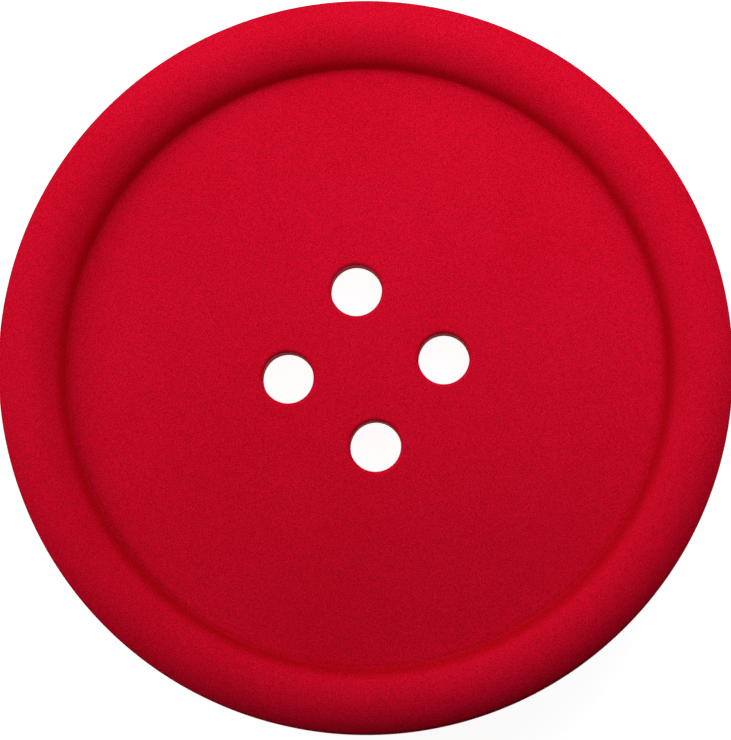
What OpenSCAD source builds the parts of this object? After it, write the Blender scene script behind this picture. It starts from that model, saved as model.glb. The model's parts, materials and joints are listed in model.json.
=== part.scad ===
// Four-hole sew-on button, moulded in one piece.
// The face with the rounded rim is up, the back rests on z = 0, and the axis of the button is Z.

/* [Outline] */
// Outside diameter
button_d = 28; // [20:0.5:44]
// Thickness, from the back to the crest of the rim
button_t = 3.4; // [2.8:0.1:6]
// Radius that rounds the outer edge of the back
back_edge_r = 0.8; // [0.2:0.1:1.4]

/* [Rim] */
// Radius of the rim's rounded crown
crown_r = 1.65; // [1.3:0.05:2]
// Distance from the outer wall to the crest of the rim
crest_inset = 0.95; // [0.7:0.05:1.2]
// Radius of the small curve where the crown meets the outer wall
rim_edge_r = 0.2; // [0.1:0.05:0.5]
// Radius of the small curve where the crown meets the floor of the well
crease_r = 0.1; // [0.05:0.05:0.4]

/* [Well] */
// Depth of the well, from the crest of the rim down to its floor
well_depth = 1.2; // [0.4:0.1:1.6]

/* [Thread holes] */
// Number of holes
hole_count = 4; // [2:1:6]
// Diameter of the circle that the holes are centred on
hole_circle_d = 6; // [5:0.1:12]
// Diameter of the straight part of a hole
hole_d = 1.95; // [1.2:0.05:2.2]
// Radius that rounds both mouths of a hole, so that they don't cut the thread
hole_edge_r = 0.15; // [0.05:0.05:0.4]

/* [Hidden] */

// How finely OpenSCAD's own preview draws a curve
$fn = 96;

// How far a cutter reaches past the face that it opens
cut_past = 1;

wall_r = button_d / 2;
crest_r = wall_r - crest_inset;
crown_z = button_t - crown_r;
floor_z = button_t - well_depth;

// The rim edge's circle touches the crown's circle from inside, and the outer wall
rim_edge_x = wall_r - rim_edge_r;
rim_edge_rise = sqrt(pow(crown_r - rim_edge_r, 2) - pow(rim_edge_x - crest_r, 2));
rim_edge_z = crown_z + rim_edge_rise;

// The crease's circle rests on the floor and touches the crown's circle, or the wall below it
crease_z = floor_z + crease_r;
crease_rise = max(0, crease_z - crown_z);
crease_x = crest_r - sqrt(pow(crown_r + crease_r, 2) - pow(crease_rise, 2));

hole_r = hole_d / 2;
hole_mouth_r = hole_r + hole_edge_r;

// Sections are half of a cut through the axis: x is the distance from the axis and y is the height

// The air that rounds a corner at [x, y]: all beyond the circle, between two directions from its centre
module corner_cutter(centre, r, side_a, side_b) {
    reach = r + cut_past;
    translate(centre) {
        difference() {
            polygon([[0, 0], reach * side_a, reach * (side_a + side_b), reach * side_b]);
            circle(r = r);
        }
    }
}

// The rim: its crown over a straight outer wall, with a rounded edge at each end of the wall
module rim_section() {
    inner_x = crest_r - crown_r;
    outward = [rim_edge_x - crest_r, rim_edge_rise] / (crown_r - rim_edge_r);
    difference() {
        union() {
            translate([inner_x, 0])
                square([wall_r - inner_x, crown_z]);
            intersection() {
                translate([crest_r, crown_z])
                    circle(r = crown_r);
                translate([inner_x, crown_z / 2])
                    square([wall_r - inner_x, button_t]);
            }
        }
        corner_cutter([rim_edge_x, rim_edge_z], rim_edge_r, outward, [1, 0]);
        corner_cutter([wall_r - back_edge_r, back_edge_r], back_edge_r, [0, -1], [1, 0]);
    }
}

// The air over the floor, with the crease's circle in its corner, up to the rim
module well_section() {
    top_z = button_t + cut_past;
    translate([0, floor_z])
        square([crease_x, well_depth + cut_past]);
    translate([crease_x, crease_z])
        circle(r = crease_r);
    difference() {
        polygon([
            [crease_x, crease_z],
            [crest_r, crease_z - crease_rise],
            [crest_r, top_z],
            [crease_x, top_z]
        ]);
        rim_section();
    }
}

// One rounded mouth: a cutter that flares from the hole's wall out to the face at z = 0
module mouth_cutter() {
    rotate_extrude() {
        difference() {
            translate([0, -hole_edge_r])
                square([hole_mouth_r, hole_edge_r + cut_past]);
            translate([hole_mouth_r, -hole_edge_r])
                circle(r = hole_edge_r);
        }
    }
}

// One thread hole, from the back to the floor of the well
module hole_cutter() {
    translate([0, 0, -cut_past])
        cylinder(r = hole_r, h = floor_z + 2 * cut_past);
    translate([0, 0, floor_z])
        mouth_cutter();
    mirror([0, 0, 1])
        mouth_cutter();
}

module button() {
    color("crimson") {
        difference() {
            rotate_extrude() {
                difference() {
                    union() {
                        square([crest_r, crease_z]);
                        rim_section();
                    }
                    well_section();
                }
            }
            for (i = [0 : hole_count - 1]) {
                rotate(i * 360 / hole_count)
                    translate([hole_circle_d / 2, 0, 0])
                        hole_cutter();
            }
        }
    }
}

button();
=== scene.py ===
"""A four-hole sew-on button of matte red plastic, on a white studio floor, seen from its face."""

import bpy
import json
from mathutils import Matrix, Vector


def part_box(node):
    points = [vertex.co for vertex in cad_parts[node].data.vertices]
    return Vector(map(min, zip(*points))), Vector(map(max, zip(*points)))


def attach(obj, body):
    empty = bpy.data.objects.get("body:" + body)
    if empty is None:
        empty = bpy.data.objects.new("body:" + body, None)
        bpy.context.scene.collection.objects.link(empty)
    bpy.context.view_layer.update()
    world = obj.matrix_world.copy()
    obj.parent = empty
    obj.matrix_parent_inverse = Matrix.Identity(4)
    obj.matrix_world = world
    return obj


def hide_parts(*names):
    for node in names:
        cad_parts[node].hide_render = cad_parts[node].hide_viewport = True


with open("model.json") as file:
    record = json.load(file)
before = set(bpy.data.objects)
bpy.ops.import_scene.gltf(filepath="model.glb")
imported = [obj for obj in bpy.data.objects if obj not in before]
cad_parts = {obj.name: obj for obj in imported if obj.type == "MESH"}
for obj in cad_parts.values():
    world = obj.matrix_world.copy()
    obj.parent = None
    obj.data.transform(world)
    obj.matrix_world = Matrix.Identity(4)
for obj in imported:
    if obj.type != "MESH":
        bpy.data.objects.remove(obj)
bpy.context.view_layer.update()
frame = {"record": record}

import json
from math import atan2, cos, degrees, radians, sin, sqrt

import bmesh
import bpy
from mathutils import Matrix, Vector
from mathutils.bvhtree import BVHTree

MM = 0.001

# The photograph's frame, and the places in it that the camera is held to
W, H = 731, 740
L = max(W, H)
EDGE_POINTS = {
    "button_left": 0.5,
    "button_right": 730.5,
    "button_top": 1,
    "button_bottom": 737,
    "well_left": 64,
    "well_right": 667,
    "well_top": 65.5,
    "well_bottom": 666.5,
}
HOLE_POINTS = {
    "hole_right": (444, 358.5),
    "hole_top": (357.5, 290),
    "hole_left": (290.5, 378),
    "hole_bottom": (376, 445.5),
}
# Where on the crease's curve the well's edge shows, in degrees, and how finely that edge is followed
WELL_EDGE_AT = 330
RING_STEPS = 360
# The step in pixels by which a hole's open view is measured
OPEN_STEP = 0.25

# The camera looks almost straight down on the face, from a little below the middle of the picture
CAM_DISTANCE = 300 * MM
CAM_TILT = radians(3)
CAM_FROM = radians(-82)
CAM_ROLL = radians(-7)
CAM_AIM = Vector((-0.021, -0.065, 2.1)) * MM
CAM_LENS = 382
CAM_SENSOR = 36
CAM_CLIP_START = 10 * MM
CAM_CLIP_END = 10

# The button's sizes: the box and the holes come from the frame, and the rest are the CAD part's
WALL_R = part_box("button")[1].x
TOP_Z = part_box("button")[1].z
CROWN_R = 1.65 * MM
CREST_INSET = 0.95 * MM
RIM_EDGE_R = 0.2 * MM
CREASE_R = 0.1 * MM
WELL_DEPTH = 1.2 * MM
BACK_EDGE_R = 0.8 * MM
HOLES = [m for m in frame["record"]["mounts"] if m["kind"] == "bore"]
HOLE_R = HOLES[0]["dims"]["r_mm"] * MM
HOLE_WALL = HOLES[0]["dims"]["length_mm"] * MM

FLOOR_Z = TOP_Z - WELL_DEPTH
HOLE_EDGE_R = (FLOOR_Z - HOLE_WALL) / 2
CROWN_CENTRE = (WALL_R - CREST_INSET, TOP_Z - CROWN_R)
RIM_EDGE_REACH = CREST_INSET - RIM_EDGE_R
RIM_EDGE_RISE = sqrt((CROWN_R - RIM_EDGE_R) ** 2 - RIM_EDGE_REACH**2)
RIM_EDGE_CENTRE = (WALL_R - RIM_EDGE_R, CROWN_CENTRE[1] + RIM_EDGE_RISE)
CREASE_RISE = FLOOR_Z + CREASE_R - CROWN_CENTRE[1]
CREASE_REACH = sqrt((CROWN_R + CREASE_R) ** 2 - CREASE_RISE**2)
CREASE_CENTRE = (CROWN_CENTRE[0] - CREASE_REACH, FLOOR_Z + CREASE_R)

# How finely the mesh is made: round the axis, and along each stretch of the section
SEGMENTS = 288
FLAT_STEPS = 14
CREASE_STEPS = 8
CROWN_STEPS = 48
RIM_EDGE_STEPS = 8
WALL_STEPS = 6
BACK_EDGE_STEPS = 18
HOLE_EDGE_STEPS = 10
# The patch is the middle, where the holes are: its radius, its steps along the spokes between its
# quarters, and its steps from a quarter's edge to the hole in it
PATCH_R = 5.5 * MM
SPOKE_STEPS = 28
PATCH_STEPS = 10
# A ring this close to each curve's end keeps the flat face next to it flat in the shading
SUPPORT = 0.04 * MM
# Vertices closer than this are one
WELD = 0.001 * MM

# Nearly all of a noise's values lie between these two, so they are the ends of what it drives
NOISE_LOW = 0.3
NOISE_HIGH = 0.7

# The plastic's mottling: its scale and detail, the two reds that it runs between, and its relief
MOTTLE_SCALE = 220
MOTTLE_DETAIL = 3
DEEP_RED = (0.57, 0.0030, 0.018)
CLEAR_RED = (0.60, 0.0036, 0.022)
MOTTLE_HEIGHT = 0.01 * MM
MOTTLE_STRENGTH = 0.3

# Its grain: how its frame is turned, in radians, its scale and detail, what the red is multiplied by
# in a dark and in a pale speck, and its relief
GRAIN_TURN = (0.5, 0.4, 0.7)
GRAIN_SCALE = 30000
GRAIN_DETAIL = 0
DARK_SPECK = (0.7, 0.45, 0.4)
PALE_SPECK = (1.3, 1.55, 1.6)
GRAIN_HEIGHT = 0.002 * MM
GRAIN_STRENGTH = 0.5

# Its gloss: the fine noise that the roughness follows, the values that it runs between, and how weak
# and how pink the gloss is
FINE_SCALE = 5200
FINE_DETAIL = 3
FINE_ROUGHNESS = 0.6
ROUGHNESS_LOW = 0.52
ROUGHNESS_HIGH = 0.62
GLOSS = 0.01
GLOSS_TINT = (1.0, 0.25, 0.45)

# Painted shade in the crease, where the well's floor meets the rim: what the red is multiplied by in
# its middle, where that is, how far it reaches in plan, and how little a height counts
PAINTED_CREASE_SHADE_COLOUR = (0.71, 0.58, 0.34)
SHADE_MIDDLE = (CREASE_CENTRE[0] + 0.2 * MM, CREASE_CENTRE[1])
SHADE_FADE = 0.41 * MM
SHADE_SQUASH = 0.2

# The floor's size and finish, and for the floor and the room a strength as seen and one as light
FLOOR_HALF = 600 * MM
FLOOR_GREY = 0.45
FLOOR_ROUGHNESS = 0.9
FLOOR_SEEN = 0.93
FLOOR_LIGHT = 0
ROOM_SEEN = 1
ROOM_LIGHT = 0.05

# The lamps: the picture's direction that each stands in, its place out that way and above the crest's
# height, the spot out that way that it faces, and its panel, all in mm; the power is in watts
LAMPS = {
    "key": dict(angle=77.5, out=25.4, above=23.9, faces_out=25, width=123, depth=26, power=0.0171),
    "left": dict(angle=170.6, out=89, above=50.8, faces_out=0, width=42, depth=40, power=0.04),
    "back": dict(angle=67.9, out=112.2, above=69.4, faces_out=0, width=72, depth=62, power=0.0475),
    "over": dict(angle=103.6, out=0, above=13, faces_out=0, width=55, depth=14, power=0.0012),
}


def arc(centre, radius, start, end, steps):
    """Points (r, z) on a circle, from one angle to another in degrees, both ends included."""
    turns = [radians(start + (end - start) * i / steps) for i in range(steps + 1)]
    return [(centre[0] + radius * cos(a), centre[1] + radius * sin(a)) for a in turns]


def line(start, end, steps):
    """Points (r, z) on a straight line, both ends included."""
    shares = [i / steps for i in range(steps + 1)]
    return [tuple(a + (b - a) * s for a, b in zip(start, end)) for s in shares]


def outer_profile():
    """From the well's floor over the rim and round to the back, as (distance from the axis, z)."""
    crease_touch = degrees(atan2(CREASE_RISE, -CREASE_REACH))
    edge_touch = degrees(atan2(RIM_EDGE_RISE, RIM_EDGE_REACH))
    back_r = WALL_R - BACK_EDGE_R
    return (
        line((PATCH_R, FLOOR_Z), (CREASE_CENTRE[0] - SUPPORT, FLOOR_Z), FLAT_STEPS)
        + arc(CREASE_CENTRE, CREASE_R, 270, 180 + crease_touch, CREASE_STEPS)
        + arc(CROWN_CENTRE, CROWN_R, crease_touch, edge_touch, CROWN_STEPS)[1:]
        + arc(RIM_EDGE_CENTRE, RIM_EDGE_R, edge_touch, 0, RIM_EDGE_STEPS)[1:]
        + line((WALL_R, RIM_EDGE_CENTRE[1] - SUPPORT), (WALL_R, BACK_EDGE_R + SUPPORT), WALL_STEPS)
        + arc((back_r, BACK_EDGE_R), BACK_EDGE_R, 0, -90, BACK_EDGE_STEPS)
        + line((back_r - SUPPORT, 0), (PATCH_R, 0), FLAT_STEPS)
    )


def hole_profile():
    """Down through one hole, from mouth to mouth, as (distance from the hole's axis, z)."""
    mouth_r = HOLE_R + HOLE_EDGE_R
    upper = (mouth_r, FLOOR_Z - HOLE_EDGE_R)
    lower = (mouth_r, HOLE_EDGE_R)
    return (
        [(mouth_r + SUPPORT, FLOOR_Z)]
        + arc(upper, HOLE_EDGE_R, 90, 180, HOLE_EDGE_STEPS)
        + line((HOLE_R, upper[1] - SUPPORT), (HOLE_R, lower[1] + SUPPORT), WALL_STEPS)
        + arc(lower, HOLE_EDGE_R, 180, 270, HOLE_EDGE_STEPS)
        + [(mouth_r + SUPPORT, 0)]
    )


def patch_outline(turn):
    """One quarter of the patch, the one around the hole at this angle, as points round its edge."""
    quarter = SEGMENTS // 4
    first, last = turn - radians(45), turn + radians(45)
    rim = [(PATCH_R, first + (last - first) * i / quarter) for i in range(quarter)]
    inward = [(PATCH_R * (1 - i / SPOKE_STEPS), last) for i in range(SPOKE_STEPS)]
    outward = [(PATCH_R * i / SPOKE_STEPS, first) for i in range(SPOKE_STEPS)]
    return [Vector((r * cos(a), r * sin(a))) for r, a in rim + inward + outward]


def add_rows(mesh, rows):
    """Joins closed rows of points, each as long as the next, with four-sided faces."""
    made = [[mesh.verts.new(point) for point in row] for row in rows]
    for above, below in zip(made, made[1:]):
        for i in range(len(above)):
            mesh.faces.new((above[i - 1], above[i], below[i], below[i - 1]))


def lathe_rows():
    """The outer profile turned round the axis, one ring of points for each of its points."""
    turns = [radians(360 * i / SEGMENTS) for i in range(SEGMENTS)]
    return [[(r * cos(a), r * sin(a), z) for a in turns] for r, z in outer_profile()]


def hole_rows(hole):
    """From a quarter's edge across the floor, down the hole and back across the underside."""
    centre = Vector(hole["pos_m"][:2])
    edge = patch_outline(atan2(centre.y, centre.x))
    rays = [(point - centre).normalized() for point in edge]
    spans = [(point - centre).length for point in edge]
    profile = hole_profile()

    def flat_row(share, start_r, z):
        reach = [start_r + (span - start_r) * share for span in spans]
        return [(*(centre + ray * r), z) for ray, r in zip(rays, reach)]

    shares = [i / PATCH_STEPS for i in range(1, PATCH_STEPS + 1)]
    upper = [flat_row(share, *profile[0]) for share in reversed(shares)]
    inside = [[(*(centre + ray * r), z) for ray in rays] for r, z in profile]
    lower = [flat_row(share, *profile[-1]) for share in shares]
    return upper + inside + lower


def add_object(name, data):
    """A new object in the scene that holds this data."""
    made = bpy.data.objects.new(name, data)
    bpy.context.scene.collection.objects.link(made)
    return made


def make_button():
    """The whole button as one closed mesh of four-sided faces."""
    mesh = bmesh.new()
    add_rows(mesh, lathe_rows())
    for hole in HOLES:
        add_rows(mesh, hole_rows(hole))
    bmesh.ops.remove_doubles(mesh, verts=mesh.verts, dist=WELD)
    bmesh.ops.recalc_face_normals(mesh, faces=mesh.faces)
    data = bpy.data.meshes.new("red_button")
    mesh.to_mesh(data)
    mesh.free()
    data.shade_smooth()
    return add_object("red_button", data)


def new_material(name):
    """An empty node material, its tree and its output."""
    material = bpy.data.materials.new(name)
    material.use_nodes = True
    tree = material.node_tree
    tree.nodes.clear()
    return material, tree, tree.nodes.new("ShaderNodeOutputMaterial")


def set_inputs(tree, node, inputs):
    """Links each input that is given a socket, sets each that is given a value; returns the node."""
    for name, value in inputs.items():
        if isinstance(value, bpy.types.NodeSocket):
            tree.links.new(value, node.inputs[name])
        else:
            node.inputs[name].default_value = value
    return node


def noise(tree, where, scale, detail, roughness=0.5):
    """A noise texture in the object's own metres; returns its value socket."""
    node = tree.nodes.new("ShaderNodeTexNoise")
    inputs = {"Vector": where, "Scale": scale, "Detail": detail, "Roughness": roughness}
    return set_inputs(tree, node, inputs).outputs["Fac"]


def turned(tree, where):
    """The same metres in a frame turned askew, so that no flat face lies along a noise's own grid."""
    node = tree.nodes.new("ShaderNodeMapping")
    return set_inputs(tree, node, {"Vector": where, "Rotation": GRAIN_TURN}).outputs["Vector"]


def ramp(tree, value, *stops):
    """A colour ramp between two (position, colour) stops; returns its colour socket."""
    node = tree.nodes.new("ShaderNodeValToRGB")
    for element, (position, colour) in zip(node.color_ramp.elements, stops):
        element.position = position
        element.color = (*colour, 1)
    return set_inputs(tree, node, {"Fac": value}).outputs["Color"]


def mapped(tree, value, low, high):
    """A noise's value, stretched so that it runs from low to high."""
    node = tree.nodes.new("ShaderNodeMapRange")
    set_inputs(tree, node, {"Value": value, "From Min": NOISE_LOW, "From Max": NOISE_HIGH})
    return set_inputs(tree, node, {"To Min": low, "To Max": high}).outputs["Result"]


def multiplied(tree, colour, factor):
    """One colour times another, channel by channel."""
    node = tree.nodes.new("ShaderNodeMix")
    node.data_type = "RGBA"
    node.blend_type = "MULTIPLY"
    return set_inputs(tree, node, {"Factor": 1, "A": colour, "B": factor}).outputs["Result"]


def bump(tree, height, distance, strength):
    """A relief; returns the node, so that another relief can go under it."""
    node = tree.nodes.new("ShaderNodeBump")
    return set_inputs(tree, node, {"Height": height, "Distance": distance, "Strength": strength})


def painted_crease_shade(tree, where):
    """Painted shade: darkest where the well's floor meets the rim, fading out on both sides of it."""
    place = set_inputs(tree, tree.nodes.new("ShaderNodeSeparateXYZ"), {"Vector": where}).outputs
    flat = tree.nodes.new("ShaderNodeCombineXYZ")
    set_inputs(tree, flat, {"X": place["X"], "Y": place["Y"]})
    reach = tree.nodes.new("ShaderNodeVectorMath")
    reach.operation = "LENGTH"
    set_inputs(tree, reach, {0: flat.outputs["Vector"]})
    low = tree.nodes.new("ShaderNodeMath")
    low.operation = "MULTIPLY"
    set_inputs(tree, low, {0: place["Z"], 1: SHADE_SQUASH})
    section = tree.nodes.new("ShaderNodeCombineXYZ")
    set_inputs(tree, section, {"X": reach.outputs["Value"], "Z": low.outputs["Value"]})
    gap = tree.nodes.new("ShaderNodeVectorMath")
    gap.operation = "DISTANCE"
    middle = (SHADE_MIDDLE[0], 0, SHADE_MIDDLE[1] * SHADE_SQUASH)
    set_inputs(tree, gap, {0: section.outputs["Vector"], 1: middle})
    fade = tree.nodes.new("ShaderNodeMapRange")
    fade.interpolation_type = "SMOOTHSTEP"
    set_inputs(tree, fade, {"Value": gap.outputs["Value"], "From Min": 0, "From Max": SHADE_FADE})
    return ramp(tree, fade.outputs["Result"], (0, PAINTED_CREASE_SHADE_COLOUR), (1, (1, 1, 1)))


def red_plastic():
    """Matte red plastic: an even fine grain, faint mottling, painted shade in the crease, and a fine
    roughness.
    """
    material, tree, output = new_material("red_plastic")
    where = tree.nodes.new("ShaderNodeTexCoord").outputs["Object"]
    mottle = noise(tree, where, MOTTLE_SCALE, MOTTLE_DETAIL)
    grain = noise(tree, turned(tree, where), GRAIN_SCALE, GRAIN_DETAIL)
    fine = noise(tree, where, FINE_SCALE, FINE_DETAIL, FINE_ROUGHNESS)

    base = ramp(tree, mottle, (NOISE_LOW, DEEP_RED), (NOISE_HIGH, CLEAR_RED))
    speckle = ramp(tree, grain, (NOISE_LOW, DARK_SPECK), (NOISE_HIGH, PALE_SPECK))
    wave = bump(tree, mottle, MOTTLE_HEIGHT, MOTTLE_STRENGTH)
    relief = bump(tree, grain, GRAIN_HEIGHT, GRAIN_STRENGTH)
    set_inputs(tree, relief, {"Normal": wave.outputs["Normal"]})

    shader = tree.nodes.new("ShaderNodeBsdfPrincipled")
    set_inputs(tree, shader, {
        # The base colour is darkened by painted shade in the crease between the well's floor and the
        # rim
        "Base Color": multiplied(tree, multiplied(tree, base, speckle), painted_crease_shade(tree, where)),
        "Roughness": mapped(tree, fine, ROUGHNESS_LOW, ROUGHNESS_HIGH),
        "Specular IOR Level": GLOSS,
        "Specular Tint": (*GLOSS_TINT, 1),
        "Normal": relief.outputs["Normal"],
    })
    set_inputs(tree, output, {"Surface": shader.outputs["BSDF"]})
    return material


def seen_strength(tree, seen, otherwise):
    """One strength for what the camera, a reflection or a clear piece sees, and another for light."""
    path = tree.nodes.new("ShaderNodeLightPath").outputs
    looks = path["Is Camera Ray"]
    for ray in ("Is Glossy Ray", "Is Transmission Ray"):
        either = tree.nodes.new("ShaderNodeMath")
        either.operation = "MAXIMUM"
        looks = set_inputs(tree, either, {0: looks, 1: path[ray]}).outputs["Value"]
    strength = tree.nodes.new("ShaderNodeMapRange")
    set_inputs(tree, strength, {"Value": looks, "To Min": otherwise, "To Max": seen})
    return strength.outputs["Result"]


def studio_white():
    """A pale floor that the camera and reflections see as white, and that still takes a shadow."""
    material, tree, output = new_material("studio_white")
    shader = tree.nodes.new("ShaderNodeBsdfPrincipled")
    set_inputs(tree, shader, {
        "Base Color": (FLOOR_GREY, FLOOR_GREY, FLOOR_GREY, 1),
        "Roughness": FLOOR_ROUGHNESS,
        "Specular IOR Level": 0,
        "Emission Color": (1, 1, 1, 1),
        "Emission Strength": seen_strength(tree, FLOOR_SEEN, FLOOR_LIGHT),
    })
    set_inputs(tree, output, {"Surface": shader.outputs["BSDF"]})
    return material


def make_floor():
    """A wide flat sheet that the button lies on."""
    data = bpy.data.meshes.new("studio_floor")
    sides = [(-1, -1), (1, -1), (1, 1), (-1, 1)]
    corners = [(x * FLOOR_HALF, y * FLOOR_HALF, 0) for x, y in sides]
    data.from_pydata(corners, [], [(0, 1, 2, 3)])
    data.materials.append(studio_white())
    add_object("studio_floor", data)


def picture_direction(angle):
    """A direction on the floor, given by its angle in the picture: 0 is right and 90 is up."""
    turn = radians(angle) + CAM_ROLL
    return Vector((cos(turn), sin(turn), 0))


def placed(place, across, away):
    """The matrix of a camera or lamp here that looks against away, with across on its right."""
    turn = Matrix((across, away.cross(across), away)).transposed().to_4x4()
    return Matrix.Translation(place) @ turn


def area_light(name, angle, out, above, faces_out, width, depth, power):
    """A soft panel beyond or over the button, that faces a spot at the crest's height."""
    side = picture_direction(angle)
    place = side * (out * MM) + Vector((0, 0, above * MM))
    away = (place - side * (faces_out * MM)).normalized()
    lamp = bpy.data.lights.new(name, "AREA")
    lamp.shape = "RECTANGLE"
    lamp.size = width * MM
    lamp.size_y = depth * MM
    lamp.energy = power
    across = picture_direction(angle - 90)
    add_object(name, lamp).matrix_world = placed(place + Vector((0, 0, TOP_Z)), across, away)


def make_lights():
    """The key beyond the top of the picture, two farther panels, a strip overhead and a dim room."""
    for name, panel in LAMPS.items():
        area_light(name, **panel)
    world = bpy.data.worlds.new("room")
    world.use_nodes = True
    tree = world.node_tree
    strength = seen_strength(tree, ROOM_SEEN, ROOM_LIGHT)
    set_inputs(tree, tree.nodes["Background"], {"Color": (1, 1, 1, 1), "Strength": strength})
    bpy.context.scene.world = world


def make_camera():
    """The camera, at the photograph's viewing angle."""
    data = bpy.data.cameras.new("camera")
    data.sensor_fit = "AUTO"
    data.sensor_width = CAM_SENSOR
    data.lens = CAM_LENS
    data.clip_start = CAM_CLIP_START
    data.clip_end = CAM_CLIP_END
    away = Vector((sin(CAM_TILT) * cos(CAM_FROM), sin(CAM_TILT) * sin(CAM_FROM), cos(CAM_TILT)))
    across = picture_direction(90).cross(away).normalized()
    camera = add_object("camera", data)
    camera.matrix_world = placed(CAM_AIM + away * CAM_DISTANCE, across, away)
    bpy.context.scene.camera = camera
    return camera


def to_picture(camera, point):
    """Where a point in space shows in the photograph's frame."""
    local = camera.matrix_world.inverted() @ Vector(point)
    scale = L * camera.data.lens / camera.data.sensor_width / -local.z
    x = W / 2 - camera.data.shift_x * L + local.x * scale
    y = H / 2 + camera.data.shift_y * L - local.y * scale
    return x, y


def ray_through(camera, x, y):
    """The start and the direction of the ray through a place in the photograph's frame."""
    data = camera.data
    aim = Vector((x - W / 2 + data.shift_x * L, H / 2 - y + data.shift_y * L, 0))
    aim.z = -L * data.lens / data.sensor_width
    return camera.matrix_world.translation, (camera.matrix_world.to_3x3() @ aim).normalized()


def open_span(camera, surface, x, y, dx, dy):
    """How far the view through a hole stays open from a place, in pixels."""
    reach = 0
    while reach < L:
        ray = ray_through(camera, x + dx * reach, y + dy * reach)
        if surface.ray_cast(*ray)[0] is not None:
            break
        reach += OPEN_STEP
    return reach


def report_points(camera, button):
    """Works out how far each thing shows from its point, in x and y."""
    spots = [to_picture(camera, vertex.co) for vertex in button.data.vertices]
    xs, ys = zip(*spots)
    turns = [radians(360 * i / RING_STEPS) for i in range(RING_STEPS)]
    ring_r, ring_z = arc(CREASE_CENTRE, CREASE_R, WELL_EDGE_AT, WELL_EDGE_AT, 1)[0]
    ring = [to_picture(camera, (ring_r * cos(a), ring_r * sin(a), ring_z)) for a in turns]
    ring_xs, ring_ys = zip(*ring)
    shown = {
        "button_left": min(xs),
        "button_right": max(xs),
        "button_top": min(ys),
        "button_bottom": max(ys),
        "well_left": min(ring_xs),
        "well_right": max(ring_xs),
        "well_top": min(ring_ys),
        "well_bottom": max(ring_ys),
    }
    off = {name: round(shown[name] - place, 2) for name, place in EDGE_POINTS.items()}

    surface = BVHTree.FromPolygons(
        [vertex.co for vertex in button.data.vertices],
        [face.vertices for face in button.data.polygons],
    )
    for name, (x, y) in HOLE_POINTS.items():
        right, left = (open_span(camera, surface, x, y, d, 0) for d in (1, -1))
        down, up = (open_span(camera, surface, x, y, 0, d) for d in (1, -1))
        off[name] = [round((right - left) / 2, 2), round((down - up) / 2, 2)]


camera = make_camera()
button = make_button()
button.data.materials.append(red_plastic())
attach(button, "root")
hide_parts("button")
make_floor()
make_lights()

scene = bpy.context.scene
scene.view_settings.view_transform = "Standard"

bpy.context.view_layer.update()
report_points(camera, button)
